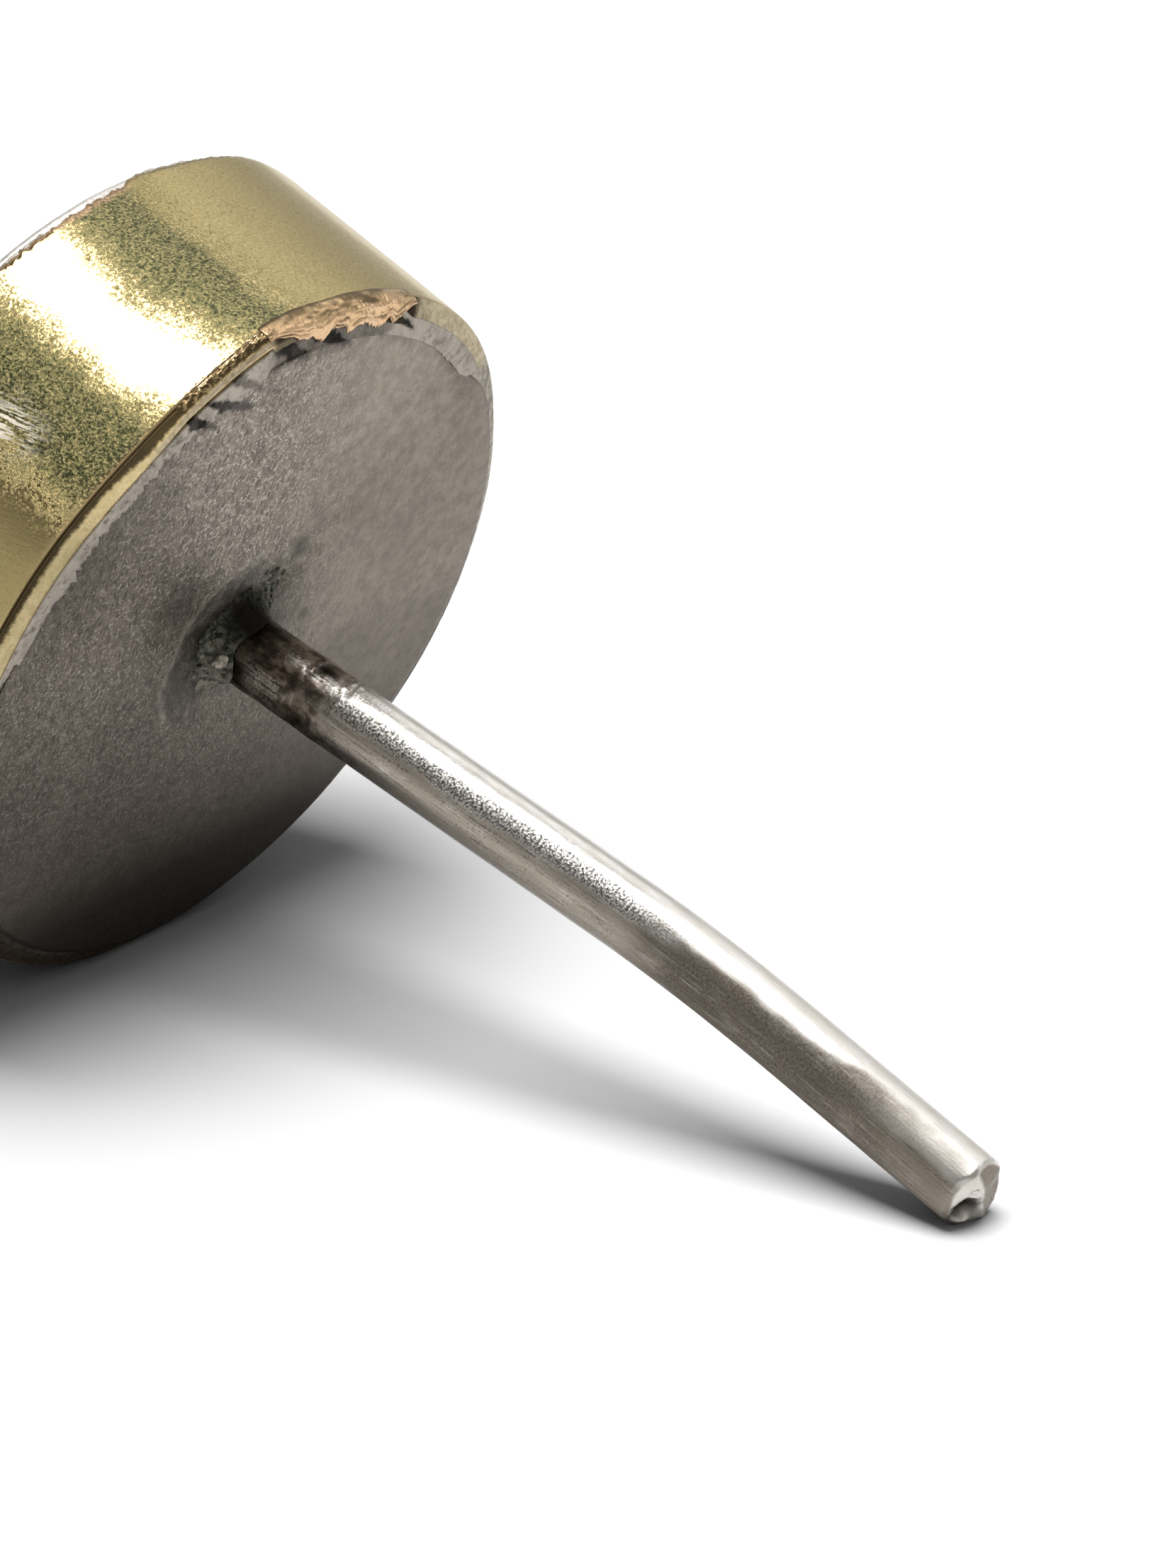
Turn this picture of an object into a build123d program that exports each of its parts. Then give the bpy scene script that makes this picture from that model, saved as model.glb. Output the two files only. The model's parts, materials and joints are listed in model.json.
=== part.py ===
from build123d import *
import math
import os

# A handmade stud earring, in millimetres. The head is a hollow soldered box: a brass band closed by a
# silver plate at the front and one at the back. A silver wire, the ear post, is soldered to the back
# plate. The stud lies as it does on a table, on the rear rim of its band and the snipped tip of its post:
# the table is z = 0, +Z is up, and +X runs from the head towards the tip of the post.

# Driving dimensions of the head. Its rear corner is the circle where the band's wall meets its bevel. The
# rear corner is worn flat, by rest_flat at the most, on the short stretch that it rests on.
head_radius = 4.70
front_radius = 4.78
band_height = 2.78
band_wall = 0.45
bevel_rise = 0.16
bevel_inset = 0.26
back_thickness = 0.70
front_thickness = 0.20
front_edge_round = 0.08
head_tilt = 18.90
rest_flat = 0.06

# Driving dimensions of the ear post, measured from the rear corner's plane
wire_diameter = 0.90
straight_length = 6.20
bend_length = 2.70
bend_angle = 6.50
end_length = 2.80
side_lean = 1.15
snip_depth = 0.14

# Driving dimensions of the solder
band_seam_width = 0.12
rear_groove = 0.12
rear_crust_width = 0.16
rear_crust_rise = 0.03
front_groove = 0.06
collar_radius = 0.95
collar_rise = 0.36
collar_neck = 0.04
collar_rim = 0.03

# Cutting shapes reach this far past what they cut
overrun = 1.00

# The head's own frame: radius along x, and the axis, out of the back plate, along y
tilt = math.radians(head_tilt)
wire_radius = wire_diameter / 2
inner_radius = head_radius - band_wall
box_height = band_height + front_thickness
rear_height = head_radius * math.cos(tilt) - rest_flat

# The post dips just so far that the lowest point of its tip touches the table
bend = math.radians(bend_angle)
bend_radius = bend_length / bend


def along_bend(angle):
    """The post's centre line where it has turned by this angle, as (length, fall) from its root."""
    return straight_length + bend_radius * math.sin(angle), bend_radius * (1 - math.cos(angle))


bend_end = along_bend(bend)
tip = (bend_end[0] + end_length * math.cos(bend), bend_end[1] + end_length * math.sin(bend))
reach = tip[0] - wire_radius * math.sin(bend)
drop = tip[1] + wire_radius * math.cos(bend)
dip = math.asin(rear_height / math.hypot(reach, drop)) - math.atan2(drop, reach)

# The origin is under the middle of the whole stud
behind = (
    (box_height - front_edge_round) * math.cos(tilt)
    + (front_radius - front_edge_round) * math.sin(tilt)
    + front_edge_round
)
ahead = tip[0] * math.cos(dip) - tip[1] * math.sin(dip) + wire_radius * math.sin(dip + bend)
rear_centre = Vector((behind - ahead) / 2, 0, rear_height)

head_direction = Vector(math.cos(tilt), 0, -math.sin(tilt))
head_axis = Axis(rear_centre, head_direction)
head_section = Plane(origin=rear_centre, x_dir=(math.sin(tilt), 0, math.cos(tilt)), z_dir=(0, 1, 0))
head_rear = Plane(origin=rear_centre, x_dir=(0, 1, 0), z_dir=head_direction)

# The post's bend lies in an upright plane, with the post's length along x and down along y
lean = math.radians(side_lean)
post_direction = Vector(
    math.cos(dip) * math.cos(lean),
    math.cos(dip) * math.sin(lean),
    -math.sin(dip),
)
post_sideways = Vector(-math.sin(lean), math.cos(lean), 0)
post_plane = Plane(origin=rear_centre, x_dir=post_direction, z_dir=post_sideways)
post_root = Plane(origin=rear_centre, x_dir=post_sideways, z_dir=post_direction)
tip_point = post_plane.from_local_coords(Vector(*tip, 0))
tip_aim = post_plane.from_local_coords(Vector(tip[0] + math.cos(bend), tip[1] + math.sin(bend), 0))
tip_direction = tip_aim - tip_point
tip_plane = Plane(origin=tip_point, x_dir=post_sideways, z_dir=post_sideways.cross(tip_direction))


def ring_section(points):
    """A closed outline in the head's own frame, as (radius, height along the axis) pairs."""
    with BuildSketch(head_section) as section:
        with BuildLine():
            Polyline(*points, close=True)
        make_face()
    return section.sketch


# The strip's rear edge is filed to a bevel, and its front edge leaves a groove for the solder
band_outline = [
    (inner_radius, bevel_rise),
    (head_radius - bevel_inset, bevel_rise),
    (head_radius, 0),
    (front_radius, front_groove - band_height),
    (front_radius - front_groove, -band_height),
    (inner_radius, -band_height),
]


# The two ends of the strip meet at a narrow gap, which solder fills
with BuildSketch(head_rear.offset(-box_height)) as seam_gap:
    with Locations(((inner_radius + head_radius) / 2, 0)):
        Rectangle(band_wall + overrun, band_seam_width)

with BuildPart() as brass_band:
    revolve(ring_section(band_outline), axis=head_axis)
    extrude(seam_gap.sketch, amount=box_height + overrun, mode=Mode.SUBTRACT)
    split(bisect_by=Plane.XY, keep=Keep.TOP)

with BuildPart() as band_seam_solder:
    revolve(ring_section(band_outline), axis=head_axis)
    extrude(seam_gap.sketch, amount=box_height + overrun, mode=Mode.INTERSECT)

# The back plate sits inside the band, flush with its rear edge, with a shallow seat for the post
back_outline = [
    (0, bevel_rise),
    (inner_radius - rear_groove, bevel_rise),
    (inner_radius, bevel_rise - rear_groove),
    (inner_radius, bevel_rise - back_thickness),
    (0, bevel_rise - back_thickness),
]
with BuildPart() as back_plate:
    revolve(ring_section(back_outline), axis=head_axis)
    with BuildSketch(post_root):
        Circle(wire_radius)
    extrude(amount=overrun, mode=Mode.SUBTRACT)

# The front plate covers the band's front edge
with BuildPart() as front_plate:
    with BuildSketch(head_rear.offset(-box_height)):
        Circle(front_radius)
    extrude(amount=front_thickness)
    front_edge = front_plate.edges().sort_by(head_axis)[0]
    fillet(front_edge, radius=front_edge_round)

# Solder fills the groove round the back plate and stands up over it as a low crust
rear_solder_outline = [
    (inner_radius, bevel_rise - rear_groove),
    (inner_radius - rear_groove, bevel_rise),
    (inner_radius - rear_crust_width, bevel_rise),
    (inner_radius - rear_crust_width / 2, bevel_rise + rear_crust_rise),
    (inner_radius + rear_crust_width / 2, bevel_rise + rear_crust_rise),
    (head_radius - bevel_inset, bevel_rise),
    (inner_radius, bevel_rise),
]
with BuildPart() as rear_seam_solder:
    revolve(ring_section(rear_solder_outline), axis=head_axis)

front_solder_outline = [
    (front_radius, front_groove - band_height),
    (front_radius, -band_height),
    (front_radius - front_groove, -band_height),
]
with BuildPart() as front_seam_solder:
    revolve(ring_section(front_solder_outline), axis=head_axis)

# The post is one wire, straight from its seat in the back plate and bent a little near its end. Side
# cutters left a low ridge across its tip.
with BuildPart() as ear_post:
    with BuildLine(post_plane) as centre_line:
        Line((0, 0), (straight_length, 0))
        ThreePointArc((straight_length, 0), along_bend(bend / 2), bend_end)
        Line(bend_end, tip)
    with BuildSketch(post_root):
        Circle(wire_radius)
    sweep()
    with BuildSketch(tip_plane):
        with BuildLine():
            Polyline(
                (0, 0),
                (wire_diameter, -2 * snip_depth),
                (wire_diameter, overrun),
                (-wire_diameter, overrun),
                (-wire_diameter, -2 * snip_depth),
                close=True,
            )
        make_face()
    extrude(amount=overrun, both=True, mode=Mode.SUBTRACT)

# A hollow collar of solder, with a thin rim and a concave flank, holds the post in its seat
neck_radius = wire_radius + collar_neck
rim_top = bevel_rise + collar_rim
collar_top = bevel_rise + collar_rise
flank_middle = (
    neck_radius + (collar_radius - neck_radius) / 3,
    rim_top + (collar_top - rim_top) / 3,
)
with BuildPart() as post_solder:
    with BuildSketch(head_section):
        with BuildLine():
            Polyline((0, collar_top), (0, bevel_rise), (collar_radius, bevel_rise), (collar_radius, rim_top))
            ThreePointArc((collar_radius, rim_top), flank_middle, (neck_radius, collar_top))
            Line((neck_radius, collar_top), (0, collar_top))
        make_face()
    revolve(axis=head_axis)
    with BuildSketch(post_root):
        Circle(wire_radius)
    extrude(amount=overrun, mode=Mode.SUBTRACT)

os.makedirs("parts", exist_ok=True)
brass_band.part.label = "brass_band"
export_step(brass_band.part, "parts/brass_band.step")
band_seam_solder.part.label = "band_seam_solder"
export_step(band_seam_solder.part, "parts/band_seam_solder.step")
back_plate.part.label = "back_plate"
export_step(back_plate.part, "parts/back_plate.step")
front_plate.part.label = "front_plate"
export_step(front_plate.part, "parts/front_plate.step")
rear_seam_solder.part.label = "rear_seam_solder"
export_step(rear_seam_solder.part, "parts/rear_seam_solder.step")
front_seam_solder.part.label = "front_seam_solder"
export_step(front_seam_solder.part, "parts/front_seam_solder.step")
ear_post.part.label = "ear_post"
export_step(ear_post.part, "parts/ear_post.step")
post_solder.part.label = "post_solder"
export_step(post_solder.part, "parts/post_solder.step")
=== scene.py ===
import json
import math

import bmesh
import bpy
import numpy as np
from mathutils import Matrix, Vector


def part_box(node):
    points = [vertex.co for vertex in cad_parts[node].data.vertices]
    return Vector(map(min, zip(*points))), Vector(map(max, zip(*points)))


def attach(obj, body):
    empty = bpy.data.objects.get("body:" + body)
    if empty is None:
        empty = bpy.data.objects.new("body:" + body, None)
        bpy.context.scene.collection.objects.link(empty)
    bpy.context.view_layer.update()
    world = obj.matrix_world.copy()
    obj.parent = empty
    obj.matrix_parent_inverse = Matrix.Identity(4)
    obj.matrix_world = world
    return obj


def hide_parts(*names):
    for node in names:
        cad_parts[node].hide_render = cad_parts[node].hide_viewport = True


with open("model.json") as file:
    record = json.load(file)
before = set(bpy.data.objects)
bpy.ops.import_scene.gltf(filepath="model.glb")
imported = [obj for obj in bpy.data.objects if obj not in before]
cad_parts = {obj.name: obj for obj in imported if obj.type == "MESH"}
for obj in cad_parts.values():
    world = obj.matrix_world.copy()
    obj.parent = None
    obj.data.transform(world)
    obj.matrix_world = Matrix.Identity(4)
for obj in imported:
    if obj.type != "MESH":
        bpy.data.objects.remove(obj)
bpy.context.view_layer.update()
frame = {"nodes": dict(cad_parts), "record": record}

# A handmade stud earring, worked out in millimetres in the CAD frame and written in metres. The head has
# an angle round its axis in degrees (0 at the top, positive towards +Y), a radius, and a height along the
# axis above the band's rear corner. On the back plate, x runs to +Y and y up. The post has a way along it
# from its root and a turn round it (0 level towards +Y, 90 degrees on top). Masks from 0 to 1 on the
# corners of each mesh tell its material where the surface changes.

MM = 0.001

# Sizes of the head and the post, as in the CAD model
BEVEL_RISE = 0.16
BEVEL_INSET = 0.26
BAND_WALL = 0.45
BACK_THICKNESS = 0.70
FRONT_THICKNESS = 0.20
FRONT_EDGE_ROUND = 0.08
STRAIGHT_LENGTH = 6.20
BEND_LENGTH = 2.70
END_LENGTH = 2.80

# How far the band's front edge reaches over the front plate, at the most
LAP = 0.16

# The ridge that the snip left across the post's tip: its direction and its distance from the middle
RIDGE_WAY = (-0.453, 0.891)
RIDGE_AT = -0.02


# ---- the frame

def node_points(name):
    """A CAD node's corners in millimetres, each one once."""
    mesh = frame["nodes"][name].data
    flat = np.empty(len(mesh.vertices) * 3)
    mesh.vertices.foreach_get("co", flat)
    matrix = np.array(frame["nodes"][name].matrix_world)
    points = flat.reshape(-1, 3) @ matrix[:3, :3].T + matrix[:3, 3]
    return np.unique(np.round(points / MM, 4), axis=0)


def half_width(name):
    """Half of a CAD node's width along Y, in millimetres."""
    node_low, node_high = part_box(name)
    return (node_high[1] - node_low[1]) / 2 / MM


def unit(v):
    return v / np.linalg.norm(v)


rear_ring = node_points("rear_seam_solder").mean(axis=0)
front_ring = node_points("front_seam_solder").mean(axis=0)
OUT = unit(rear_ring - front_ring)
SIDE = np.array([0.0, 1.0, 0.0])
UP = unit(np.cross(OUT, SIDE))
band_heights = (node_points("brass_band") - front_ring) @ OUT
BAND_HEIGHT = band_heights.max() - band_heights.min() - BEVEL_RISE
ROOT = front_ring + OUT * (band_heights.max() - BEVEL_RISE)
FRONT_RADIUS = half_width("front_plate")
INNER_RADIUS = half_width("back_plate")
HEAD_RADIUS = INNER_RADIUS + BAND_WALL

post_mount = frame["record"]["mounts"][0]
WIRE_RADIUS = post_mount["dims"]["r_mm"]
END_WAY = unit(np.array(post_mount["axis"]))
TIP = np.array(post_mount["pos_m"]) / MM + END_WAY * END_LENGTH / 2
BEND_END = TIP - END_WAY * END_LENGTH
ROOT_WAY = unit(BEND_END - END_WAY * BEND_LENGTH / 2 - ROOT)


# ---- numbers and noise

def lattice(ix, iy, iz, seed):
    """A repeatable random number from 0 to 1 at each corner of a lattice."""
    h = (ix * 374761393 + iy * 668265263 + iz * 2147483647 + seed * 1274126177) & 0x7FFFFFFF
    h = (h ^ (h >> 13)) * 1274126177 & 0x7FFFFFFF
    return ((h ^ (h >> 16)) & 0xFFFFFF) / float(0xFFFFFF)


def noise(x, y, z=0.0, seed=0):
    """Smooth value noise from -1 to 1."""
    x, y, z = np.broadcast_arrays(np.asarray(x, float), y, z)
    ix, iy, iz = (np.floor(v).astype(np.int64) for v in (x, y, z))
    fx, fy, fz = (v - i for v, i in zip((x, y, z), (ix, iy, iz)))
    fx, fy, fz = (f * f * (3 - 2 * f) for f in (fx, fy, fz))
    total = 0.0
    for dx in (0, 1):
        for dy in (0, 1):
            for dz in (0, 1):
                weight = (fx if dx else 1 - fx) * (fy if dy else 1 - fy) * (fz if dz else 1 - fz)
                total += weight * lattice(ix + dx, iy + dy, iz + dz, seed)
    return 2 * total - 1


def layered(x, y, z=0.0, seed=0, layers=4):
    """Noise with finer and weaker layers on top, about -1 to 1."""
    total, size, norm = 0.0, 1.0, 0.0
    for k in range(layers):
        total += size * noise(x * 2**k, y * 2**k, z * 2**k, seed + 17 * k)
        norm += size
        size *= 0.55
    return total / norm * 1.4


def bump(value, centre, width):
    """A smooth hump, 1 at the centre, gone a few widths away."""
    return np.exp(-(((value - centre) / width) ** 2))


def round_bump(angle, centre, width):
    """The same round the head, for angles in degrees."""
    return bump((angle - centre + 180) % 360 - 180, 0, width)


def spot(x, y, middle, width, wobble=0.0):
    """A smooth round spot on a face."""
    return bump(np.hypot(x - middle[0], y - middle[1]) + wobble, 0, width)


def step(value, low, high):
    """Rises smoothly from 0 at low to 1 at high."""
    t = np.clip((value - low) / (high - low), 0, 1)
    return t * t * (3 - 2 * t)


def between(angle, start, end, soft=3.0):
    """1 from one angle to another, falling off smoothly outside."""
    return step(angle, start - soft, start) * (1 - step(angle, end, end + soft))


# ---- meshes

ROUND_STEPS = 1080
ANGLES = np.linspace(-180, 180, ROUND_STEPS, endpoint=False)[:, None]

# Masks that a material may ask for and only some of its pieces have
SPARE_MARKS = ("scratch", "bright", "satin", "flooded")


def head_point(angle, radius, height):
    """Points in the CAD frame, in millimetres, from head coordinates."""
    a = np.radians(angle)
    up, side, out = (v[..., None] for v in (radius * np.cos(a), radius * np.sin(a), height + 0 * a))
    return ROOT + up * UP + side * SIDE + out * OUT


def face_xy(angle, radius):
    """Places on the back plate from head coordinates."""
    return radius * np.sin(np.radians(angle)), radius * np.cos(np.radians(angle))


def round_place(angle, height, radius):
    """Material coordinates round the head, along its axis and through its wall."""
    return np.stack([np.radians(angle) * HEAD_RADIUS, height, radius], axis=-1)


def flat_place(points):
    """Material coordinates across the back plate, up it and out of it."""
    return (points - ROOT) @ np.stack([SIDE, UP, OUT], axis=1)


def lifted(points):
    """Nothing goes under the table."""
    points = points.copy()
    points[..., 2] = np.maximum(points[..., 2], 0)
    return points


def grid_faces(rows, columns, wrap_rows, wrap_columns):
    """Quads over a grid of points, joined round where it wraps."""
    r = np.arange(rows if wrap_rows else rows - 1)
    c = np.arange(columns if wrap_columns else columns - 1)
    r, c = np.meshgrid(r, c, indexing="ij")
    r2, c2 = (r + 1) % rows, (c + 1) % columns
    quads = np.stack([r * columns + c, r2 * columns + c, r2 * columns + c2, r * columns + c2], axis=-1)
    return quads.reshape(-1, 4).tolist()


def cap(loop, middle):
    """Triangles that close a loop of corners with one corner in its middle."""
    return [[int(p), int(q), middle] for p, q in zip(loop, np.roll(loop, -1))]


def slab(top, under):
    """Points and faces of a closed strip, from the grids of its two skins."""
    points = np.concatenate([top, under[:, ::-1]], axis=1)
    rows, columns = points.shape[:2]
    faces = grid_faces(rows, columns, False, True)
    faces += [list(range(columns)), list(range((rows - 1) * columns, rows * columns))]
    return points.reshape(-1, 3), faces


def lumpy_ball(middle, half_sizes, lump, seed, rows, around):
    """Points and faces of an uneven ball, with half-sizes across the plate, up it and out of it."""
    lat = np.linspace(0, math.pi, rows)[1:-1, None]
    lon = np.linspace(0, 2 * math.pi, around, endpoint=False)[None, :]
    x, y, z = np.sin(lat) * np.cos(lon), np.sin(lat) * np.sin(lon), np.cos(lat) + 0 * lon
    swell = 1 + lump * layered(x * 1.7 + 5, y * 1.7, z * 1.7, seed=seed)
    body = middle
    for part, half, way in zip((x, y, z), half_sizes, (SIDE, UP, OUT)):
        body = body + (part * swell * half)[..., None] * way
    pole = OUT * half_sizes[2]
    points = np.concatenate([body.reshape(-1, 3), [middle + pole, middle - pole]])
    count = (rows - 2) * around
    faces = grid_faces(rows - 2, around, False, True)
    faces += cap(np.arange(around), count) + cap(np.arange(count - around, count), count + 1)
    return points, faces


def add_object(name, data):
    item = bpy.data.objects.new(name, data)
    bpy.context.scene.collection.objects.link(item)
    return item


def make_piece(name, points, faces, material, marks, node=None):
    """A mesh piece that rides with the part, with its masks, in place of the CAD node if there is one."""
    mesh = bpy.data.meshes.new(name)
    mesh.from_pydata((np.asarray(points).reshape(-1, 3) * MM).tolist(), [], faces)
    outward = bmesh.new()
    outward.from_mesh(mesh)
    bmesh.ops.recalc_face_normals(outward, faces=outward.faces)
    outward.to_mesh(mesh)
    outward.free()
    spare = dict.fromkeys(SPARE_MARKS, np.zeros(len(mesh.vertices)))
    for key, values in {**spare, **marks}.items():
        if key == "place":
            layer = mesh.attributes.new(key, "FLOAT_VECTOR", "POINT")
            layer.data.foreach_set("vector", np.asarray(values, float).ravel())
        else:
            layer = mesh.attributes.new(key, "FLOAT", "POINT")
            layer.data.foreach_set("value", np.clip(np.asarray(values, float), 0, 1).ravel())
    mesh.polygons.foreach_set("use_smooth", [True] * len(mesh.polygons))
    mesh.validate()
    mesh.update()
    mesh.materials.append(material)
    piece = add_object(name, mesh)
    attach(piece, "root")
    if node:
        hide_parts(node)


# ---- materials

class Shader:
    """A Principled material built node by node. Its colour is laid on in coats."""

    def __init__(self, name, **values):
        self.material = bpy.data.materials.new(name)
        self.material.use_nodes = True
        self.tree = self.material.node_tree
        self.shader = self.tree.nodes["Principled BSDF"]
        self.color = None
        for socket, value in values.items():
            self.shader.inputs[socket.replace("_", " ")].default_value = value

    def link(self, value, socket):
        if isinstance(value, bpy.types.NodeSocket):
            self.tree.links.new(value, socket)
        elif isinstance(value, tuple) and socket.type == "RGBA":
            socket.default_value = (*value, 1)
        else:
            socket.default_value = value

    def node(self, kind):
        return self.tree.nodes.new("ShaderNode" + kind)

    def marks(self, *names, output="Fac"):
        """The piece's masks of these names."""
        found = []
        for name in names:
            n = self.node("Attribute")
            n.attribute_name = name
            found.append(n.outputs[output])
        return found if len(found) > 1 else found[0]

    def place(self):
        """The piece's own coordinates, in millimetres."""
        return self.marks("place", output="Vector")

    def mapped(self, vector, setting, value):
        n = self.node("Mapping")
        self.link(vector, n.inputs["Vector"])
        n.inputs[setting].default_value = value
        return n.outputs[0]

    def stretch(self, vector, x, y, z):
        return self.mapped(vector, "Scale", (x, y, z))

    def turn(self, vector, degrees):
        return self.mapped(vector, "Rotation", (0, 0, math.radians(degrees)))

    def noise(self, vector, scale, detail, rough):
        n = self.node("TexNoise")
        for key, value in (("Vector", vector), ("Scale", scale), ("Detail", detail), ("Roughness", rough)):
            self.link(value, n.inputs[key])
        return n.outputs["Fac"]

    def cells(self, vector, scale):
        n = self.node("TexVoronoi")
        self.link(vector, n.inputs["Vector"])
        self.link(scale, n.inputs["Scale"])
        return n.outputs["Distance"]

    def math(self, operation, values):
        total = values[0]
        for value in values[1:]:
            n = self.node("Math")
            n.operation = operation
            self.link(total, n.inputs[0])
            self.link(value, n.inputs[1])
            total = n.outputs[0]
        return total

    def plus(self, *values):
        return self.math("ADD", values)

    def times(self, *values):
        return self.math("MULTIPLY", values)

    def range(self, value, low, high, to_low=0.0, to_high=1.0):
        """From to_low where the value is low, smoothly, to to_high where it is high."""
        n = self.node("MapRange")
        n.interpolation_type = "SMOOTHSTEP"
        for k, v in enumerate((value, low, high, to_low, to_high)):
            self.link(v, n.inputs[k])
        return n.outputs[0]

    def mix(self, factor, a, b):
        n = self.node("Mix")
        n.data_type = "RGBA"
        n.clamp_factor = True
        for k, v in ((0, factor), (6, a), (7, b)):
            self.link(v, n.inputs[k])
        return n.outputs[2]

    def fade(self, value, low, high, low_color, high_color):
        """A colour that goes from one to the other as the value goes from low to high."""
        return self.mix(self.range(value, low, high), low_color, high_color)

    def coat(self, color, *factors):
        """Lays a colour over the ones before it, as strongly as the product of the factors."""
        self.color = self.mix(self.times(*factors), self.color, color)

    def relief(self, *heights):
        """Bump from (height in millimetres, depth in millimetres) pairs."""
        normal = None
        for height, depth in heights:
            n = self.node("Bump")
            n.inputs["Distance"].default_value = depth * MM
            self.link(height, n.inputs["Height"])
            if normal is not None:
                self.tree.links.new(normal, n.inputs["Normal"])
            normal = n.outputs[0]
        self.tree.links.new(normal, self.shader.inputs["Normal"])

    def finish(self, roughness):
        self.link(self.color, self.shader.inputs["Base Color"])
        self.link(roughness, self.shader.inputs["Roughness"])
        return self.material


def brass_material():
    """Polished brass with specks of tarnish, raw edges, and satin, scratched and flooded parts."""
    s = Shader("brass_polished", Metallic=1.0)
    at = s.place()
    tarnish, copper, dark, satin, flooded = s.marks("tarnish", "copper", "dark", "satin", "flooded")
    grain = s.noise(at, 27, 3, 0.7)
    clusters = s.noise(at, 9, 4, 0.7)
    clouds = s.noise(at, 1.3, 4, 0.6)
    lines = s.noise(s.stretch(s.turn(at, 20), 26, 3, 26), 1.0, 3, 0.6)
    strokes = s.noise(s.stretch(s.turn(at, 15), 30, 3.5, 10), 1.0, 2, 0.5)
    speckle = s.plus(s.times(grain, 2.0), clusters, -1.50)
    stipple = s.plus(s.times(speckle, s.range(tarnish, 0.05, 0.45, 0.25, 1.0)), tarnish)
    worn = s.range(stipple, 0.20, 1.0)
    scored = s.times(s.marks("scratch"), s.range(strokes, 0.48, 0.54))

    s.color = s.fade(clouds, 0.35, 0.7, (0.82, 0.64, 0.30), (0.74, 0.585, 0.275))
    # Olive tarnish and its green-black specks
    s.coat((0.220, 0.205, 0.090), worn, 0.9)
    s.coat((0.050, 0.053, 0.025), s.range(stipple, 0.80, 1.25))
    # Raw, copper-coloured metal, and small brown pits
    s.coat((0.72, 0.40, 0.24), s.range(grain, 0.60, 0.42), copper)
    s.coat((0.74, 0.50, 0.31), copper, 0.6)
    s.coat((0.20, 0.13, 0.05), s.range(s.cells(at, 9), 0.13, 0.05), 0.35)
    # Bright scratches
    s.coat((0.98, 0.90, 0.76), scored)
    # The satin stretches, with their dark and pale specks
    s.coat((0.420, 0.336, 0.150), satin, 0.9)
    s.coat((0.20, 0.155, 0.065), satin, s.range(grain, 0.54, 0.64, 0.0, 0.50))
    s.coat((0.70, 0.60, 0.34), satin, s.range(grain, 0.46, 0.36, 0.0, 0.35))
    # Solder that flooded over the brass, and the dark coat: painted shade in the gaps and undercuts, under
    # the bevel and in the torn lip's grooves
    s.coat(s.fade(clusters, 0.4, 0.6, (0.20, 0.175, 0.145), (0.42, 0.375, 0.30)), flooded)
    s.coat((0.030, 0.018, 0.008), dark)

    s.relief((lines, 0.0012), (grain, 0.0014), (s.times(grain, worn), 0.010), (strokes, 0.001))
    return s.finish(s.plus(
        s.range(grain, 0.3, 0.7, 0.13, 0.22),
        s.times(worn, 0.12),
        s.times(satin, 0.17),
        s.times(flooded, 0.25),
        s.times(dark, 0.4),
        s.times(scored, 0.3),
    ))


def plate_material():
    """Darkened silver with brushed grain, clouds, painted shade, a film round the joint and the burnt stain.
    """
    s = Shader("silver_darkened", Metallic=0.85)
    at = s.place()
    crisp = s.marks("crisp")
    brush = s.noise(s.stretch(s.turn(at, 3), 27, 6, 20), 1.0, 3, 0.8)
    grain = s.noise(at, 21, 3, 0.85)
    clouds = s.noise(at, 0.8, 5, 0.55)
    blots = s.noise(at, 5, 4, 0.65)

    s.color = s.fade(clouds, 0.3, 0.7, (0.275, 0.230, 0.184), (0.345, 0.295, 0.238))
    # Dark and light grain, crisper on one side of the plate
    s.coat((0.075, 0.062, 0.052), s.range(brush, 0.50, 0.58), crisp, 0.80)
    s.coat((0.88, 0.79, 0.70), s.range(grain, 0.53, 0.60), crisp, 0.75)
    # Dark and light blots
    s.coat((0.14, 0.118, 0.092), s.range(blots, 0.48, 0.64, 0.0, 0.35))
    s.coat((0.50, 0.44, 0.36), s.range(blots, 0.48, 0.36, 0.0, 0.30))
    # Painted shade, darkest at the bottom and to the left, with a brownish smudge in it
    s.coat((0.050, 0.042, 0.033), s.marks("shade"))
    # The film of flux and its pale outline
    s.coat((0.050, 0.047, 0.037), s.marks("film"), s.range(blots, 0.35, 0.62, 0.55, 1.0))
    s.coat((0.40, 0.36, 0.30), s.marks("halo"))
    # The chipped rim and the stain at the joint
    s.coat((0.045, 0.036, 0.030), s.marks("edge"))
    s.coat((0.010, 0.011, 0.008), s.marks("stain"))

    s.relief((s.times(brush, crisp), 0.026), (s.times(grain, crisp), 0.026))
    return s.finish(s.range(grain, 0.3, 0.7, 0.34, 0.52))


def crust_material(name, pale, deep, metallic, lump_size):
    """Rough solder, pale on its lumps and deep between them, with painted highlights on some lump tops."""
    s = Shader(name, Specular_IOR_Level=0.2)
    at = s.place()
    dark = s.marks("dark")
    lumps = s.noise(at, lump_size, 5, 0.65)
    grain = s.noise(at, 34, 3, 0.6)

    s.color = s.fade(lumps, 0.38, 0.62, deep, pale)
    s.coat(deep, s.range(grain, 0.5, 0.75), 0.5)
    # Painted highlight on the lumps' tops, where the piece's bright mask asks for it
    s.coat((0.54, 0.485, 0.415), s.marks("bright"), s.range(lumps, 0.3, 0.5))
    s.coat((0.006, 0.005, 0.003), dark)

    s.relief((lumps, 0.02), (grain, 0.007))
    s.link(s.range(dark, 0.0, 1.0, metallic, metallic * 0.3), s.shader.inputs["Metallic"])
    return s.finish(s.plus(s.range(grain, 0.3, 0.7, 0.35, 0.6), s.times(dark, 0.3)))


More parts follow.
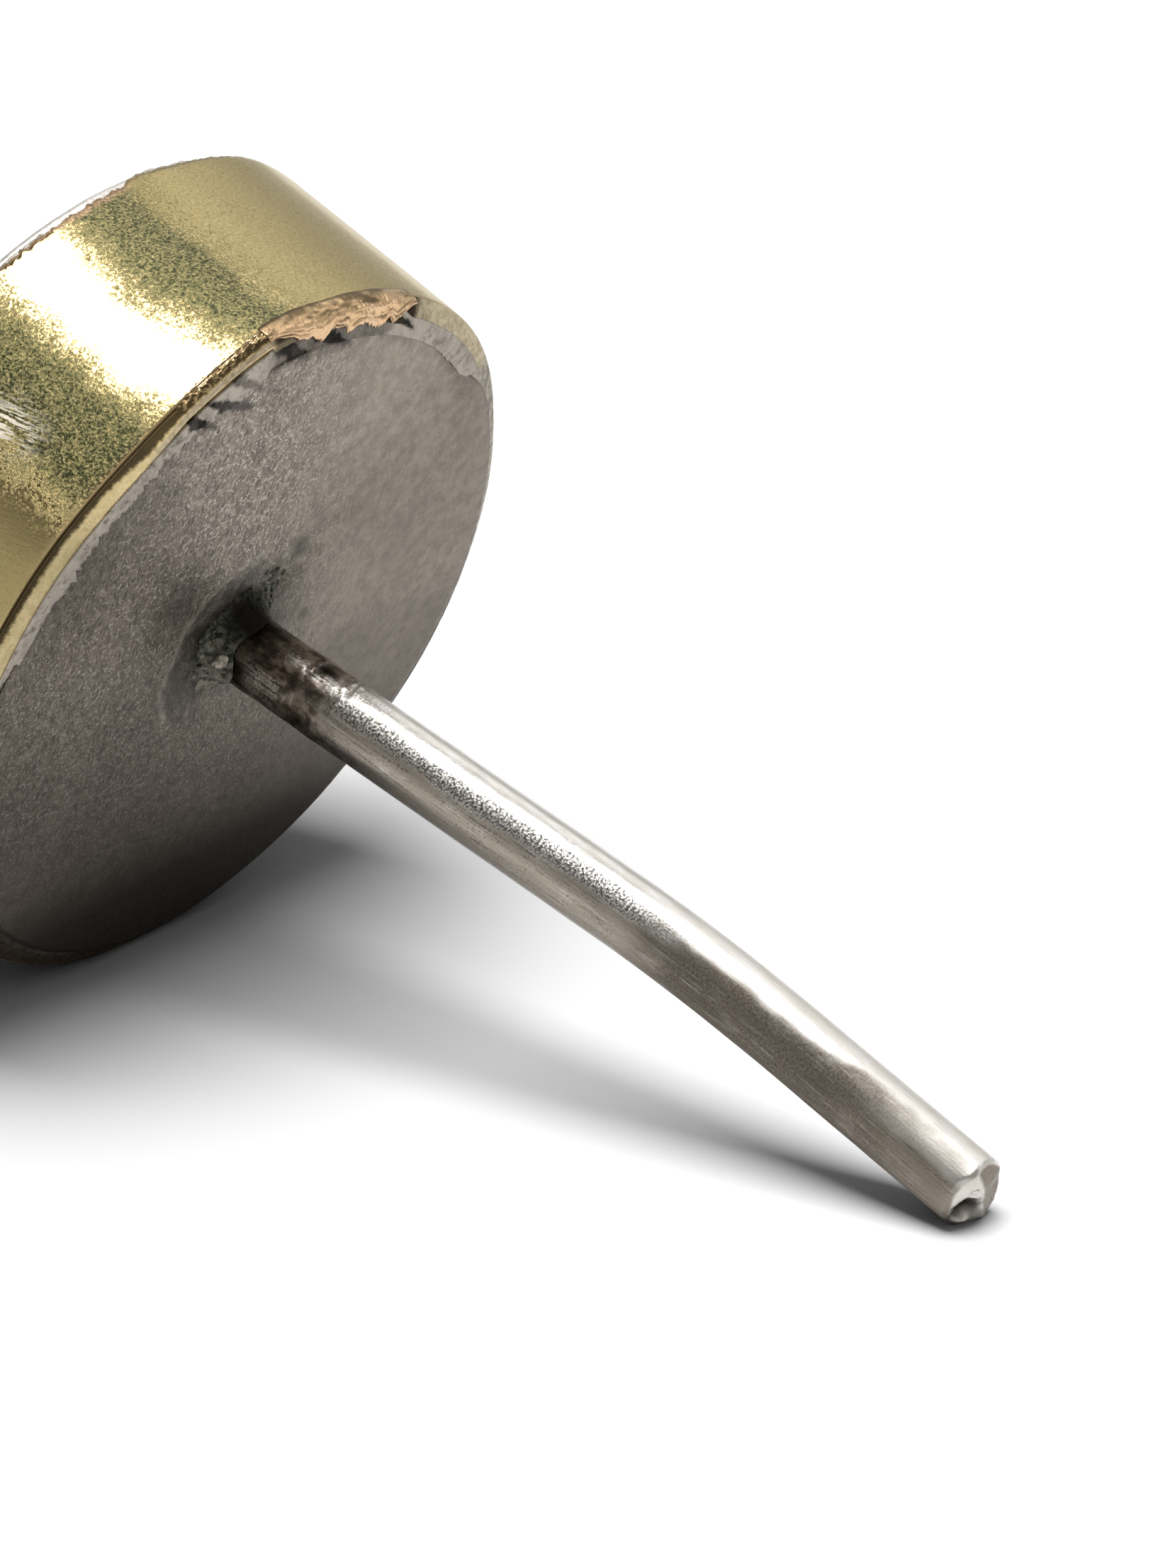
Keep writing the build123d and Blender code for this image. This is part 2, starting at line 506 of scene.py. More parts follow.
def post_material():
    """Drawn silver wire: bright on top, tan below, brown towards its tip, and burnt at its root."""
    s = Shader("silver_wire", Metallic=1.0)
    at = s.place()
    burnt_and_shade, tan, brown, mottle = s.marks("burnt_and_shade", "tan", "brown", "mottle")
    drawn = s.noise(s.stretch(at, 34, 1.2, 1), 1.0, 4, 0.65)
    grain = s.noise(at, 30, 4, 0.65)
    blotch = s.noise(s.stretch(at, 2.2, 1.0, 1), 1.6, 5, 0.62)
    patches = s.noise(s.stretch(at, 2.2, 1.6, 1), 2.6, 4, 0.6)
    speckle = s.plus(s.times(grain, 0.5), s.times(drawn, 0.5))
    sooty = s.plus(s.times(drawn, 0.2), s.times(patches, 0.8))

    s.color = s.fade(blotch, 0.35, 0.7, (0.82, 0.79, 0.75), (0.70, 0.665, 0.61))
    # Tan and brown tarnish; on the snipped tip they are also painted shade in the pit and on the shaded
    # facet
    s.coat((0.37, 0.325, 0.272), tan, s.range(blotch, 0.25, 0.5, 0.65, 1.0))
    brown_grain = s.fade(grain, 0.35, 0.65, (0.130, 0.110, 0.089), (0.265, 0.233, 0.194))
    s.coat(brown_grain, brown, s.range(blotch, 0.25, 0.5, 0.7, 1.0))
    # Specks and scratches in the tan, and pale and dark lines along the wire
    worn = s.times(tan, s.range(blotch, 0.62, 0.42, 0.40, 1.0))
    s.coat((0.10, 0.088, 0.074), worn, s.range(speckle, 0.50, 0.60, 0.0, 0.75))
    s.coat((0.13, 0.115, 0.10), s.range(drawn, 0.60, 0.70), s.range(tan, 0.0, 1.0, 0.4, 0.75))
    s.coat((0.85, 0.82, 0.78), s.range(drawn, 0.40, 0.32), 0.35)
    s.coat((0.10, 0.10, 0.095), mottle, s.range(grain, 0.42, 0.6))
    # The burnt root, left bare silver where the highlight runs along it (a painted highlight) and pale in
    # one patch, and soot; burnt scale and soot also darken the tip's pit as painted shade
    highlight_and_patch = s.times(s.marks("highlight_and_patch"), s.range(speckle, 0.44, 0.56))
    scale = s.fade(sooty, 0.42, 0.60, (0.085, 0.066, 0.052), (0.36, 0.30, 0.245))
    s.coat(scale, burnt_and_shade, s.range(blotch, 0.25, 0.5, 0.75, 1.0), s.range(highlight_and_patch, 0.0, 1.0, 1.0, 0.15))
    s.coat((0.012, 0.010, 0.006), s.marks("soot_and_shade"))

    s.relief((drawn, 0.003), (grain, 0.0022), (s.times(grain, mottle), 0.007))
    return s.finish(s.plus(
        s.range(blotch, 0.3, 0.7, 0.13, 0.21),
        s.times(tan, 0.08),
        s.times(brown, 0.20),
        s.times(s.marks("matte"), 0.24),
        s.times(burnt_and_shade, 0.10),
    ))


def front_material():
    """Satin silver, lightly brushed."""
    s = Shader("silver_front", Metallic=0.9)
    at = s.place()
    brush = s.noise(s.stretch(s.turn(at, 25), 30, 1.2, 10), 1.0, 4, 0.6)
    grain = s.noise(at, 24, 3, 0.6)
    s.color = s.fade(s.noise(at, 0.5, 4, 0.55), 0.3, 0.7, (0.66, 0.63, 0.58), (0.74, 0.71, 0.66))
    s.coat((0.36, 0.335, 0.30), s.range(brush, 0.5, 0.66), 0.5)
    s.relief((brush, 0.003), (grain, 0.003))
    return s.finish(s.range(grain, 0.3, 0.7, 0.40, 0.52))


def verdigris_material():
    """Green-black flux with pale grains."""
    s = Shader("verdigris", Metallic=0.0)
    at = s.place()
    lumps = s.noise(at, 11, 5, 0.7)
    grain = s.noise(at, 40, 3, 0.6)
    s.color = s.fade(lumps, 0.4, 0.6, (0.020, 0.024, 0.015), (0.11, 0.115, 0.080))
    s.coat((0.26, 0.255, 0.19), s.range(grain, 0.60, 0.75))
    s.relief((lumps, 0.02), (grain, 0.008))
    return s.finish(s.range(lumps, 0.3, 0.7, 0.35, 0.7))


BRASS = brass_material()
PLATE = plate_material()
GREY_CRUST = crust_material("solder_crust", (0.33, 0.285, 0.24), (0.22, 0.19, 0.16), 0.85, 9.0)
SEAM_SOLDER = crust_material("solder_seam", (0.58, 0.53, 0.46), (0.30, 0.25, 0.19), 0.85, 9.0)
BURNT = crust_material("solder_burnt", (0.20, 0.195, 0.15), (0.020, 0.022, 0.014), 0.4, 11.0)
POST = post_material()
FRONT = front_material()
VERDIGRIS = verdigris_material()


# ---- the head

# Where the rear rim is out of round, because the strip was bent by hand: angle, width and how far out
OUT_OF_ROUND = ((-38, 15, -0.10), (-9, 9, 0.085), (69, 12, -0.045), (112, 17, 0.06), (-105, 38, 0.08))

# The corner of wall and bevel: how far in from the rim, how far along the axis, how much painted shade
CORNER = ((0.012, -0.008, 0.3), (0.030, 0.006, 1.0), (0.036, 0.026, 1.0), (0.020, 0.040, 0.6))

WALL_COLUMNS = 52
BEVEL_COLUMNS = 12


def rear_radius(angle):
    return HEAD_RADIUS + sum(out * round_bump(angle, at, width) for at, width, out in OUT_OF_ROUND)


def lap(angle):
    """How far the band's front edge reaches over the rim of the front plate."""
    return LAP * np.maximum(between(angle, 0, 100, 9), 0.55 * between(angle, -110, 5, 12))


def filed(angle):
    """The stretch of the rear rim with file marks."""
    return between(angle, -27, -11, 3)


def covered(angle):
    """The stretch of the bevel under the torn lip."""
    return between(angle, -9, 24, 2)


def band_wall(column):
    """The front edge, torn on the near side, and the wall with its bands of tarnish."""
    a = ANGLES
    low = -BAND_HEIGHT
    torn = between(a, -75, 1, 4)
    ragged = 0.040 * layered(a * 0.55, 3.0, seed=5) + 0.035 * layered(a * 1.9, 1.0, seed=6)
    ragged = ragged * (0.3 + 0.7 * torn)
    lapped = -lap(a)
    column(INNER_RADIUS, low + 0.02)
    column(FRONT_RADIUS - 0.10, low + 0.01, copper=1)
    column(FRONT_RADIUS - 0.05, low + 0.02 - 0.5 * ragged * torn + lapped, copper=1, dark=0.6 * torn)
    for t in np.linspace(0, 1, WALL_COLUMNS):
        height = low + 0.03 + lapped * (1 - t) ** 2 + (BAND_HEIGHT - 0.05) * t + ragged * (1 - t) ** 8
        # The wall narrows towards the rear, swells at the front, and has slow dents and rounded edges
        radius = FRONT_RADIUS + (rear_radius(a) - FRONT_RADIUS) * t**1.3
        radius += 0.012 * (lapped < -0.1 * LAP) * (1 - t) ** 6
        radius += 0.07 * between(a, 25, 75, 18) * (1 - t)
        arc = np.radians(a) * HEAD_RADIUS
        radius += 0.0035 * layered(arc * 0.8, height * 0.8, seed=11, layers=3)
        radius = radius - 0.012 * bump(t, 0, 0.02) - 0.010 * bump(t, 1, 0.02)
        # Two wavering bands of tarnish across the wall
        sway = 2.5 * layered(a * 0.05, t * 2.0, seed=12) + 1.2 * layered(a * 0.3, t * 9.0, seed=13)
        tarnish = 1.60 * round_bump(a + sway, -40.5, 8)
        tarnish += 1.25 * round_bump(a + sway, -9, 7.5) * (1.1 - 0.3 * t)
        tarnish += 0.55 * round_bump(a, -5, 5) * bump(t, 0, 0.10)
        tarnish += 0.07 * between(a, -75, -52, 6) + 0.05
        copper = bump(t, 0, 0.022) * (0.1 + 0.9 * torn) + 0.15 * bump(t, 1, 0.015)
        column(radius, height, tarnish=tarnish, copper=copper)


def band_corner(column):
    """The corner of wall and bevel: an undercut line on the near side, file marks further up, both darkened
    with painted shade.
    """
    a = ANGLES
    line = between(a, -92, -29, 4)
    strokes = np.sin(np.radians(a) * 230 + 6.0 * layered(a * 0.5, 0.0, seed=21)) * filed(a)
    gaps = np.clip(line + 0.75 * filed(a) * (strokes < 0.1), 0, 1) * 0.95
    for drop, out, shade in CORNER:
        column(
            rear_radius(a) - drop * (0.35 + line + 0.5 * filed(a)) + 0.012 * strokes,
            out,
            copper=0.25 + 0.35 * filed(a),
            dark=shade * gaps,
            flooded=between(a, 48, 180, 10),
        )


def band_bevel(column):
    """The bevel: painted shade in the undercut, under the torn lip and underneath, and grey where solder
    flooded it.
    """
    a = ANGLES
    underside = 0.85 * (1 - between(a, -104, 90, 22)) + 0.9 * covered(a)
    grey = np.maximum(1 - between(a, -104, 46, 10), 0.65 * between(a, 22, 180, 4))
    broken = between(a, -33, -8, 5)
    undercut = between(a, -95, -8, 8)
    dark_until = 0.26 + 0.27 * between(a, -33, -8, 12)
    inset = BEVEL_INSET + 0.05 * between(a, -110, -40, 14) - 0.10 * between(a, -28, 10, 8)
    inset += 0.05 * between(a, 20, 60, 6)
    for k in range(BEVEL_COLUMNS):
        t = (k + 0.5) / BEVEL_COLUMNS
        streak = layered(a * 2.2 + 5 * t, t * 2.0, seed=31)
        serrated = 0.020 * np.sin(np.radians(a) * 190 + 14 * t + 5 * streak) * filed(a) * (1 - t)
        shadow = undercut * (1 - step(t + 0.10 * streak, dark_until - 0.10, dark_until + 0.08))
        column(
            rear_radius(a) - 0.012 - (inset - 0.012) * t,
            0.045 + (BEVEL_RISE - 0.045) * t**0.8 + serrated + 0.003 * streak,
            tarnish=0.15 + 0.2 * filed(a),
            copper=0.02 + 0.25 * filed(a),
            dark=shadow * (0.90 - 0.5 * (serrated > 0.011)) + underside,
            flooded=np.maximum(grey, 0.7 * broken * step(t, 0.5, 0.7) + 0.35 * (1 - broken) * undercut),
        )
    column(rear_radius(a) - inset - 0.03, BEVEL_RISE - 0.01, dark=underside, flooded=grey)


def make_band():
    """The brass strip, in columns of corners from its front edge over wall and bevel and back inside."""
    columns = []

    def column(radius, height, tarnish=0.0, copper=0.0, dark=0.0, flooded=0.0):
        columns.append([0 * ANGLES + v for v in (radius, height, tarnish, copper, dark, flooded)])

    band_wall(column)
    band_corner(column)
    band_bevel(column)
    column(INNER_RADIUS + 0.01, BEVEL_RISE - 0.05, dark=0.5)
    column(INNER_RADIUS, BEVEL_RISE - 0.30)
    column(INNER_RADIUS, -BAND_HEIGHT / 2)
    radius, height, tarnish, copper, dark, flooded = np.array(columns)[..., 0].transpose(1, 2, 0)
    a = np.broadcast_to(ANGLES, radius.shape)
    satin = between(a, -1, 26, 5) + between(a, -1, 175, 5) + between(a, -115, -55, 5)
    marks = {
        "place": round_place(a, height, radius),
        "tarnish": tarnish,
        "copper": copper,
        "dark": dark,
        "flooded": flooded,
        "scratch": 1.4 * round_bump(a, -45, 2.8) * bump(height, -1.35, 0.30),
        "satin": 0.5 * satin,
    }
    points = lifted(head_point(a, radius, height))
    make_piece("band", points, grid_faces(*radius.shape, True, True), BRASS, marks, "brass_band")


def make_disc(radius, height):
    """Points and faces of a closed disc, in rings from its back's middle over its edge to its front."""
    rows, columns = radius.shape
    points = head_point(np.broadcast_to(ANGLES, radius.shape), radius, height)
    back = ROOT + OUT * float(height[:, 0].mean())
    front = ROOT + OUT * float(height[:, -1].mean())
    first = np.arange(rows) * columns
    faces = grid_faces(rows, columns, True, False)
    faces += cap(first, rows * columns) + cap(first + columns - 1, rows * columns + 1)
    return np.concatenate([points.reshape(-1, 3), [back, front]]), faces


CHIPS = (
    # Dark feathers in the crust, on the back plate: start, end, half-width, how dark
    ((-1.64, 4.00), (-0.83, 3.69), 0.10, 0.85),
    ((-2.00, 3.87), (-1.41, 3.59), 0.08, 0.85),
    ((-0.74, 4.53), (0.00, 4.08), 0.14, 0.55),
    ((-0.01, 4.47), (0.73, 4.05), 0.12, 0.65),
    ((-1.36, 4.28), (-0.80, 3.95), 0.08, 0.5),
    ((-0.80, 3.93), (0.05, 3.62), 0.025, 0.6),
    ((1.20, 4.40), (1.86, 3.92), 0.075, 0.95),
)


def chips(x, y):
    """Where the solder crust broke away in feathers, each one widest at its start."""
    total = np.zeros_like(x)
    for k, (start, end, width, depth) in enumerate(CHIPS):
        way = np.subtract(end, start)
        length = np.hypot(*way)
        way = way / length
        along = ((x - start[0]) * way[0] + (y - start[1]) * way[1]) / length
        across = (x - start[0]) * way[1] - (y - start[1]) * way[0]
        ragged = 0.5 * layered(x * 5, y * 5, seed=48 + k) + 0.35 * layered(x * 14, y * 14, seed=58 + k)
        taper = width * np.sqrt(np.clip(1 - along, 0, 1)) * step(along, -0.25, 0.05)
        inside = step(taper * (1 + ragged) - np.abs(across), -0.012, 0.020) * (taper > 0)
        total = np.maximum(total, depth * inside)
    return total


def plate_marks(place):
    """The back plate's masks: chipped rim, film and stain round the joint, grain, and painted shade with a
    smudge.
    """
    x, y = place[:, 0], place[:, 1]
    angle, reach = np.degrees(np.arctan2(x, y)), np.hypot(x, y)
    near = layered(x * 3, y * 3, seed=47)
    wobble = 0.10 * layered(angle * 0.16, 0.0, seed=44) + 0.05 * layered(angle * 0.9, 2.0, seed=45)
    rim = INNER_RADIUS + wobble
    edge = 0.35 * step(reach, rim - 0.16, rim - 0.02) * between(angle, -66, 44, 14) + chips(x, y)

    # The film of flux ends in a pale line on the near side, and left two spots
    film_reach = 1.12 + 0.13 * step(np.abs(angle + 45), 20, 65) + 0.03 * near
    halo = bump(reach, film_reach, 0.024) * between(angle, -125, 8, 10) * (0.65 + 0.35 * near)
    film = (1 - step(reach, film_reach - 0.10, film_reach)) * between(angle, -115, 95, 55)
    film = film * (1 - 0.45 * between(angle, 20, 180, 30)) * (0.70 + 0.30 * (1 - step(reach, 0.7, 1.1)))
    film = np.maximum(film, 0.8 * spot(x, y, (1.14, -0.09), 0.16, 0.05 * near))
    film = np.maximum(film, 0.8 * spot(x, y, (0.87, 1.07), 0.14, 0.08 * near))
    stain = (1 - step(reach + 0.20 * near, 0.50, 0.95)) * (0.45 + 0.35 * round_bump(angle, -10, 60))

    # The grain is crisp on the upper left. The painted shade is darkest at the bottom, where the plate
    # mirrors the shadowed table, and darker to the left and lower middle; a brownish smudge up and left of
    # the joint is laid in with it, and one spot further left is lightened
    crisp = (1 - 0.8 * step(x + 0.25 * y, 0.2, 2.4)) * (1 - 0.7 * step(-y, 0.5, 3.5))
    dimmer = np.maximum(0.26 * step(-x - 0.35 * np.clip(y, 0, 4), 0, 1.3), 0.20 * step(-y, 0.2, 1.0))
    shade = 0.85 * step(-y + 0.05 * x, 1.2, 4.3) ** 1.3 + 0.10 * step(-x, 2.5, 4.5)
    shade += dimmer * (1 - step(-y, 1.8, 3.0)) * step(3.9 - y, 0, 0.6)
    shade += 0.28 * step(-x, 2.1, 3.3) * step(y, 0.8, 2.4)
    shade += 0.42 * spot(x, y, (-1.18, 1.02), 0.42, 0.10 * near) - 0.12 * spot(x, y, (-2.0, 0.2), 1.0)
    shade += 0.24 * step(2.6 - y + 0.4 * x, 0, 2.5) + 0.08
    return dict(place=place, edge=edge, film=film, stain=stain, crisp=crisp, halo=halo, shade=shade)


def make_back_plate():
    """The back plate, with shallow dents and three scratches, flush with the band."""
    a, ring = ANGLES, np.linspace(0.02, 1.0, 74)[None, :]
    full = INNER_RADIUS - 0.02
    flush = 1 - between(a, -66, 44, 14)
    radius = ring * (full + 0.19 * flush)
    x, y = face_xy(a, radius)
    height = BEVEL_RISE + 0.006 * layered(x * 0.5, y * 0.5, seed=41, layers=3)
    height += 0.003 * layered(x * 6, y * 6, seed=42)
    for scratch in (2.785, 2.91, 3.105):
        height = height - 0.006 * bump(radius, scratch, 0.018) * between(a, -12, 6, 4)
    height = height - 0.005 * step(ring, 0.98, 1.0) + 0.045 * flush
    # Down the edge and in under the plate
    below = np.ones((ROUND_STEPS, 1))
    under = BEVEL_RISE - BACK_THICKNESS
    radius = np.hstack([radius, below * (full, full - 0.3, full - 0.9)])
    height = np.hstack([height, below * (BEVEL_RISE - 0.075, under, under)])
    points, faces = make_disc(radius, height)
    marks = plate_marks(flat_place(points))
    make_piece("back_disc", points, faces, PLATE, marks, "back_plate")


def make_front_plate():
    """The front plate, whose rounded edge shows past the band."""
    a, corner, thick = ANGLES, FRONT_EDGE_ROUND, FRONT_THICKNESS
    full = FRONT_RADIUS - 0.02 * step(lap(a), 0, 0.03) + 0.006 * layered(a * 0.3, 0.0, seed=51)
    inside = full * np.concatenate([[0.3], np.linspace(0.90, 1.0, 5)])
    turn = np.linspace(0, math.pi / 2, 9)
    edge = full - corner + corner * np.cos(turn)
    face = (full - corner) * np.linspace(1.02, 0.02, 40) / 1.02
    x, y = face_xy(a, face)
    dents = 0.006 * layered(x * 0.6, y * 0.6, seed=52, layers=3)
    depth = np.hstack([0 * inside, thick - corner + corner * np.sin(turn) + 0 * edge, thick - dents])
    points, faces = make_disc(np.hstack([inside, edge, face]), -BAND_HEIGHT - depth)
    marks = {"place": flat_place(points)}
    make_piece("front_disc", points, faces, FRONT, marks, "front_plate")


def ring_grids(loop):
    """Angles, radii and heights of a closed ring, from (radius, height) pairs round its section."""
    radius = np.hstack([0 * ANGLES + r for r, _ in loop])
    height = np.hstack([0 * ANGLES + h for _, h in loop])
    return np.broadcast_to(ANGLES, radius.shape), radius, height


def make_ring(name, grids, material, marks, node):
    a, radius, height = grids
    points = lifted(head_point(a, radius, height))
    marks["place"] = round_place(a, height, radius)
    make_piece(name, points, grid_faces(*radius.shape, True, True), material, marks, node)


def make_rear_crust():
    """The crust of solder over the joint: thin on the near side, wide and ragged further up."""
    a = ANGLES
    open_side = between(a, -72, 50, 12)
    gone = between(a, -9, 21, 3)
    wide = 0.015 + 0.110 * between(a, -60, -14, 9) + 0.03 * between(a, 24, 50, 8)
    wide = wide * (1 + 0.55 * layered(a * 0.22, 0.0, seed=61) + 0.65 * layered(a * 1.4, 5.0, seed=62))
    inner = INNER_RADIUS - np.maximum(wide * (1 - 0.5 * gone), 0.05)
    outer = rear_radius(a) - BEVEL_INSET - 0.05 * between(a, -110, -40, 14) + 0.03 + 0.06 * gone
    loop = []
    for t in np.linspace(0, 1, 14):
        lump = 0.012 * layered(a * 1.3, t * 3 + 1.0, seed=63) + 0.005 * layered(a * 4, t * 9, seed=64)
        rise = 0.022 * math.sin(math.pi * min(max(t, 0.06), 0.97)) ** 0.5
        height = (rise + lump * (0.3 + math.sin(math.pi * t))) * (1 - 0.8 * gone) - 0.03 * gone
        height = height * (0.25 + 0.75 * open_side) * (1 - 0.8 * t * between(a, 4, 180, 10)) + 0.003
        loop.append((outer + (inner - outer) * t, BEVEL_RISE + height))
    loop.append((inner + 0.02, BEVEL_RISE - 0.05))
    loop.append((outer - 0.02, BEVEL_RISE - 0.06))

    a, radius, height = grids = ring_grids(loop)
    hollows = 0.25 * np.clip(layered(a * 0.5, radius * 4, seed=65), 0, 1)
    under = 1 - between(a, -80, 100, 25)
    marks = {
        # Dark: the chipped feathers, random darker hollows, and painted shade under the torn lip and
        # underneath the head
        "dark": chips(*face_xy(a, radius)) + 0.30 * between(a, -7, 17, 3) + 0.75 * under + hollows,
        # Painted highlights on the lumps on the near side and further up
        "bright": 0.75 * between(a, -78, -14, 6) + 0.55 * between(a, 22, 56, 5),
    }
    make_ring("rear_crust", grids, GREY_CRUST, marks, "rear_seam_solder")


def make_front_seam():
    """The line of solder between the band and the front plate, with gaps and small beads."""
    a = ANGLES
    open_gap = between(a, -18, -3, 2)
    bead = 0.022 + 0.010 * layered(a * 0.9, 0.0, seed=71) + 0.010 * layered(a * 3.1, 0.0, seed=72)
    bead = bead * (1 - 0.5 * open_gap)
    centre = FRONT_RADIUS - 0.028 - 0.02 * open_gap
    height = -BAND_HEIGHT + 0.018 + 0.010 * layered(a * 0.7, 3.0, seed=73) - lap(a)
    loop = []
    for t in np.linspace(0, 2 * math.pi, 8, endpoint=False):
        loop.append((centre + bead * math.cos(t) * 1.2, height + (0.018 + bead * 0.6) * math.sin(t)))

    a, radius, height = grids = ring_grids(loop)
    marks = {"dark": between(a, -18, -3, 2) * 0.7 * (layered(a * 1.2, height * 20, seed=74) > -0.2)}
    make_ring("front_seam", grids, SEAM_SOLDER, marks, "front_seam_solder")


def make_band_seam():
    """The soldered joint of the strip, a narrow raised line across the wall on the far side."""
    box_low, box_high = (np.array(c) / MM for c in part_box("band_seam_solder"))
    middle = (box_low + box_high) / 2 - ROOT
    centre = math.degrees(math.atan2(middle @ SIDE, middle @ UP))
    half = math.degrees(0.06 / HEAD_RADIUS)
    t = np.linspace(0, 1, 90)[:, None]
    across = np.linspace(-1, 1, 9)[None, :]
    wander = 0.25 * layered(t * 9, 0.0, seed=81)
    a = centre + half * (across * (1.2 + 0.3 * layered(t * 20, across, seed=82)) + wander)
    height = -BAND_HEIGHT + 0.03 + (BAND_HEIGHT - 0.05) * t + 0 * a
    skin = FRONT_RADIUS + (rear_radius(a) - FRONT_RADIUS) * t**1.3
    rise = 0.018 * np.sqrt(np.clip(1 - across**2, 0, 1)) + 0.004 * layered(t * 40, across * 2, seed=83)
    points, faces = slab(head_point(a, skin + rise, height), head_point(a, skin - 0.05, height))
    marks = {"place": flat_place(points), "dark": np.zeros(len(points))}
    make_piece("strip_joint", points, faces, SEAM_SOLDER, marks, "band_seam_solder")


def make_torn_lip():
    """A thin ragged flap of raw metal, where the band's rear edge tore and curled over the plate."""
    start, end = -11.0, 23.0
    t = np.linspace(0, 1, 26)[None, :]
    a = np.linspace(start, end, 520)[:, None] + 0 * t
    ends = step(a, start, start + 9) * (1 - step(a, end - 5, end))
    ragged = layered(a * 0.30, 0.0, seed=91) + 0.6 * layered(a * 1.1, 4.0, seed=92)
    reach = 0.07 + (0.215 + 0.075 * ragged) * ends
    fibre = layered(a * 0.22 + t * 1.5, t * 7.0, seed=93)
    fine = layered(a * 0.7 + t * 4.0, t * 18.0, seed=94)
    curl = (0.055 + 0.03 * layered(a * 0.2, 1.0, seed=95)) * ends
    radius = rear_radius(a) + 0.010 - reach * t
    height = (BEVEL_RISE + curl + 0.02) * np.sin(t * math.pi * 0.60) ** 0.55
    height = height - 0.02 + 0.016 * fibre + 0.006 * fine
    thick = 0.050 * (1 - 0.8 * t) + 0.006
    points, faces = slab(head_point(a, radius, height), head_point(a, radius - 0.01, height - thick))
    both_a = np.hstack([a, a[:, ::-1]])
    both_t = np.hstack([t + 0 * a, (t + 0 * a)[:, ::-1]])
    groove = np.hstack([fibre + 0.5 * fine, np.full_like(a, -1)])
    marks = {
        "place": round_place(both_a, both_t, 0 * both_t),
        "tarnish": np.full_like(both_a, 0.05),
        "copper": 0.70 + 0.25 * both_t + 0.25 * groove,
        # Painted shade in the grooves between the fibres and towards the lip's free edge
        "dark": np.minimum(0.14 + 0.12 * both_t - 1.1 * groove + 0.25 * bump(both_a, -9, 5), 0.8),
    }
    make_piece("torn_lip", points, faces, BRASS, marks)


# ---- the post and its solder

POST_STEPS = 700
POST_AROUND = 96
TIP_RINGS = 16


def post_line():
    """The way along the wire, its centre line and its direction there, from root to tip."""
    s = np.linspace(0, STRAIGHT_LENGTH + BEND_LENGTH + END_LENGTH, POST_STEPS)
    square = unit(END_WAY - (END_WAY @ ROOT_WAY) * ROOT_WAY)
    bend = math.acos(float(END_WAY @ ROOT_WAY))
    turn = bend * np.clip((s - STRAIGHT_LENGTH) / BEND_LENGTH, 0, 1)
    ways = np.cos(turn)[:, None] * ROOT_WAY + np.sin(turn)[:, None] * square
    parts = (ways[1:] + ways[:-1]) / 2 * np.diff(s)[:, None]
    points = ROOT + np.concatenate([np.zeros((1, 3)), np.cumsum(parts, axis=0)])
    return s, points, ways


def ridge_lines(x, z):
    """Distances across and along the ridge of the snipped tip."""
    return RIDGE_WAY[1] * x - RIDGE_WAY[0] * z, RIDGE_WAY[0] * x + RIDGE_WAY[1] * z


def hollow(across, along, half_across, half_along):
    """A round-cornered dip in the lower left facet of the tip."""
    return np.exp(-(((across + 0.20) / half_across) ** 2 + ((along + 0.07) / half_along) ** 2) ** 2)


def tip_height(x, z):
    """How far the snipped end stands out: two facets, a ridge, a pinched hollow and a nick."""
    across, along = ridge_lines(x, z)
    facets = 0.20 - np.where(across > RIDGE_AT, 0.24, 0.40) * np.sqrt((across - RIDGE_AT) ** 2 + 0.0016)
    facets = facets - 0.10 * step(along, 0.12, 0.45) + 0.04 * step(-along, 0.1, 0.4)
    nick = 0.07 * np.exp(-(((across + 0.06) / 0.05) ** 2 + ((along - 0.18) / 0.035) ** 2))
    burr = 0.012 * layered(x * 7, z * 7, seed=111) + 0.006 * layered(x * 18, z * 18, seed=112)
    return facets - 0.16 * hollow(across, along, 0.13, 0.19) - nick + burr


def post_radius(s, x, z):
    """The wire's uneven radius, with scale near the root and two raised flecks."""
    scale = step(s, 0.1, 0.5) * (1 - step(s, 1.5, 2.4))
    fleck = bump(z, 0.85, 0.35) * (bump(s, 1.42, 0.10) + bump(s, 1.95, 0.13))
    radius = WIRE_RADIUS + 0.003 * layered(s * 1.2, 2 * x, 2 * z, seed=101)
    radius += 0.008 * scale * layered(s * 4, 3 * x, 3 * z, seed=102)
    return radius + 0.016 * fleck * np.clip(layered(s * 9, 7 * x, 7 * z, seed=103), -0.3, 1)


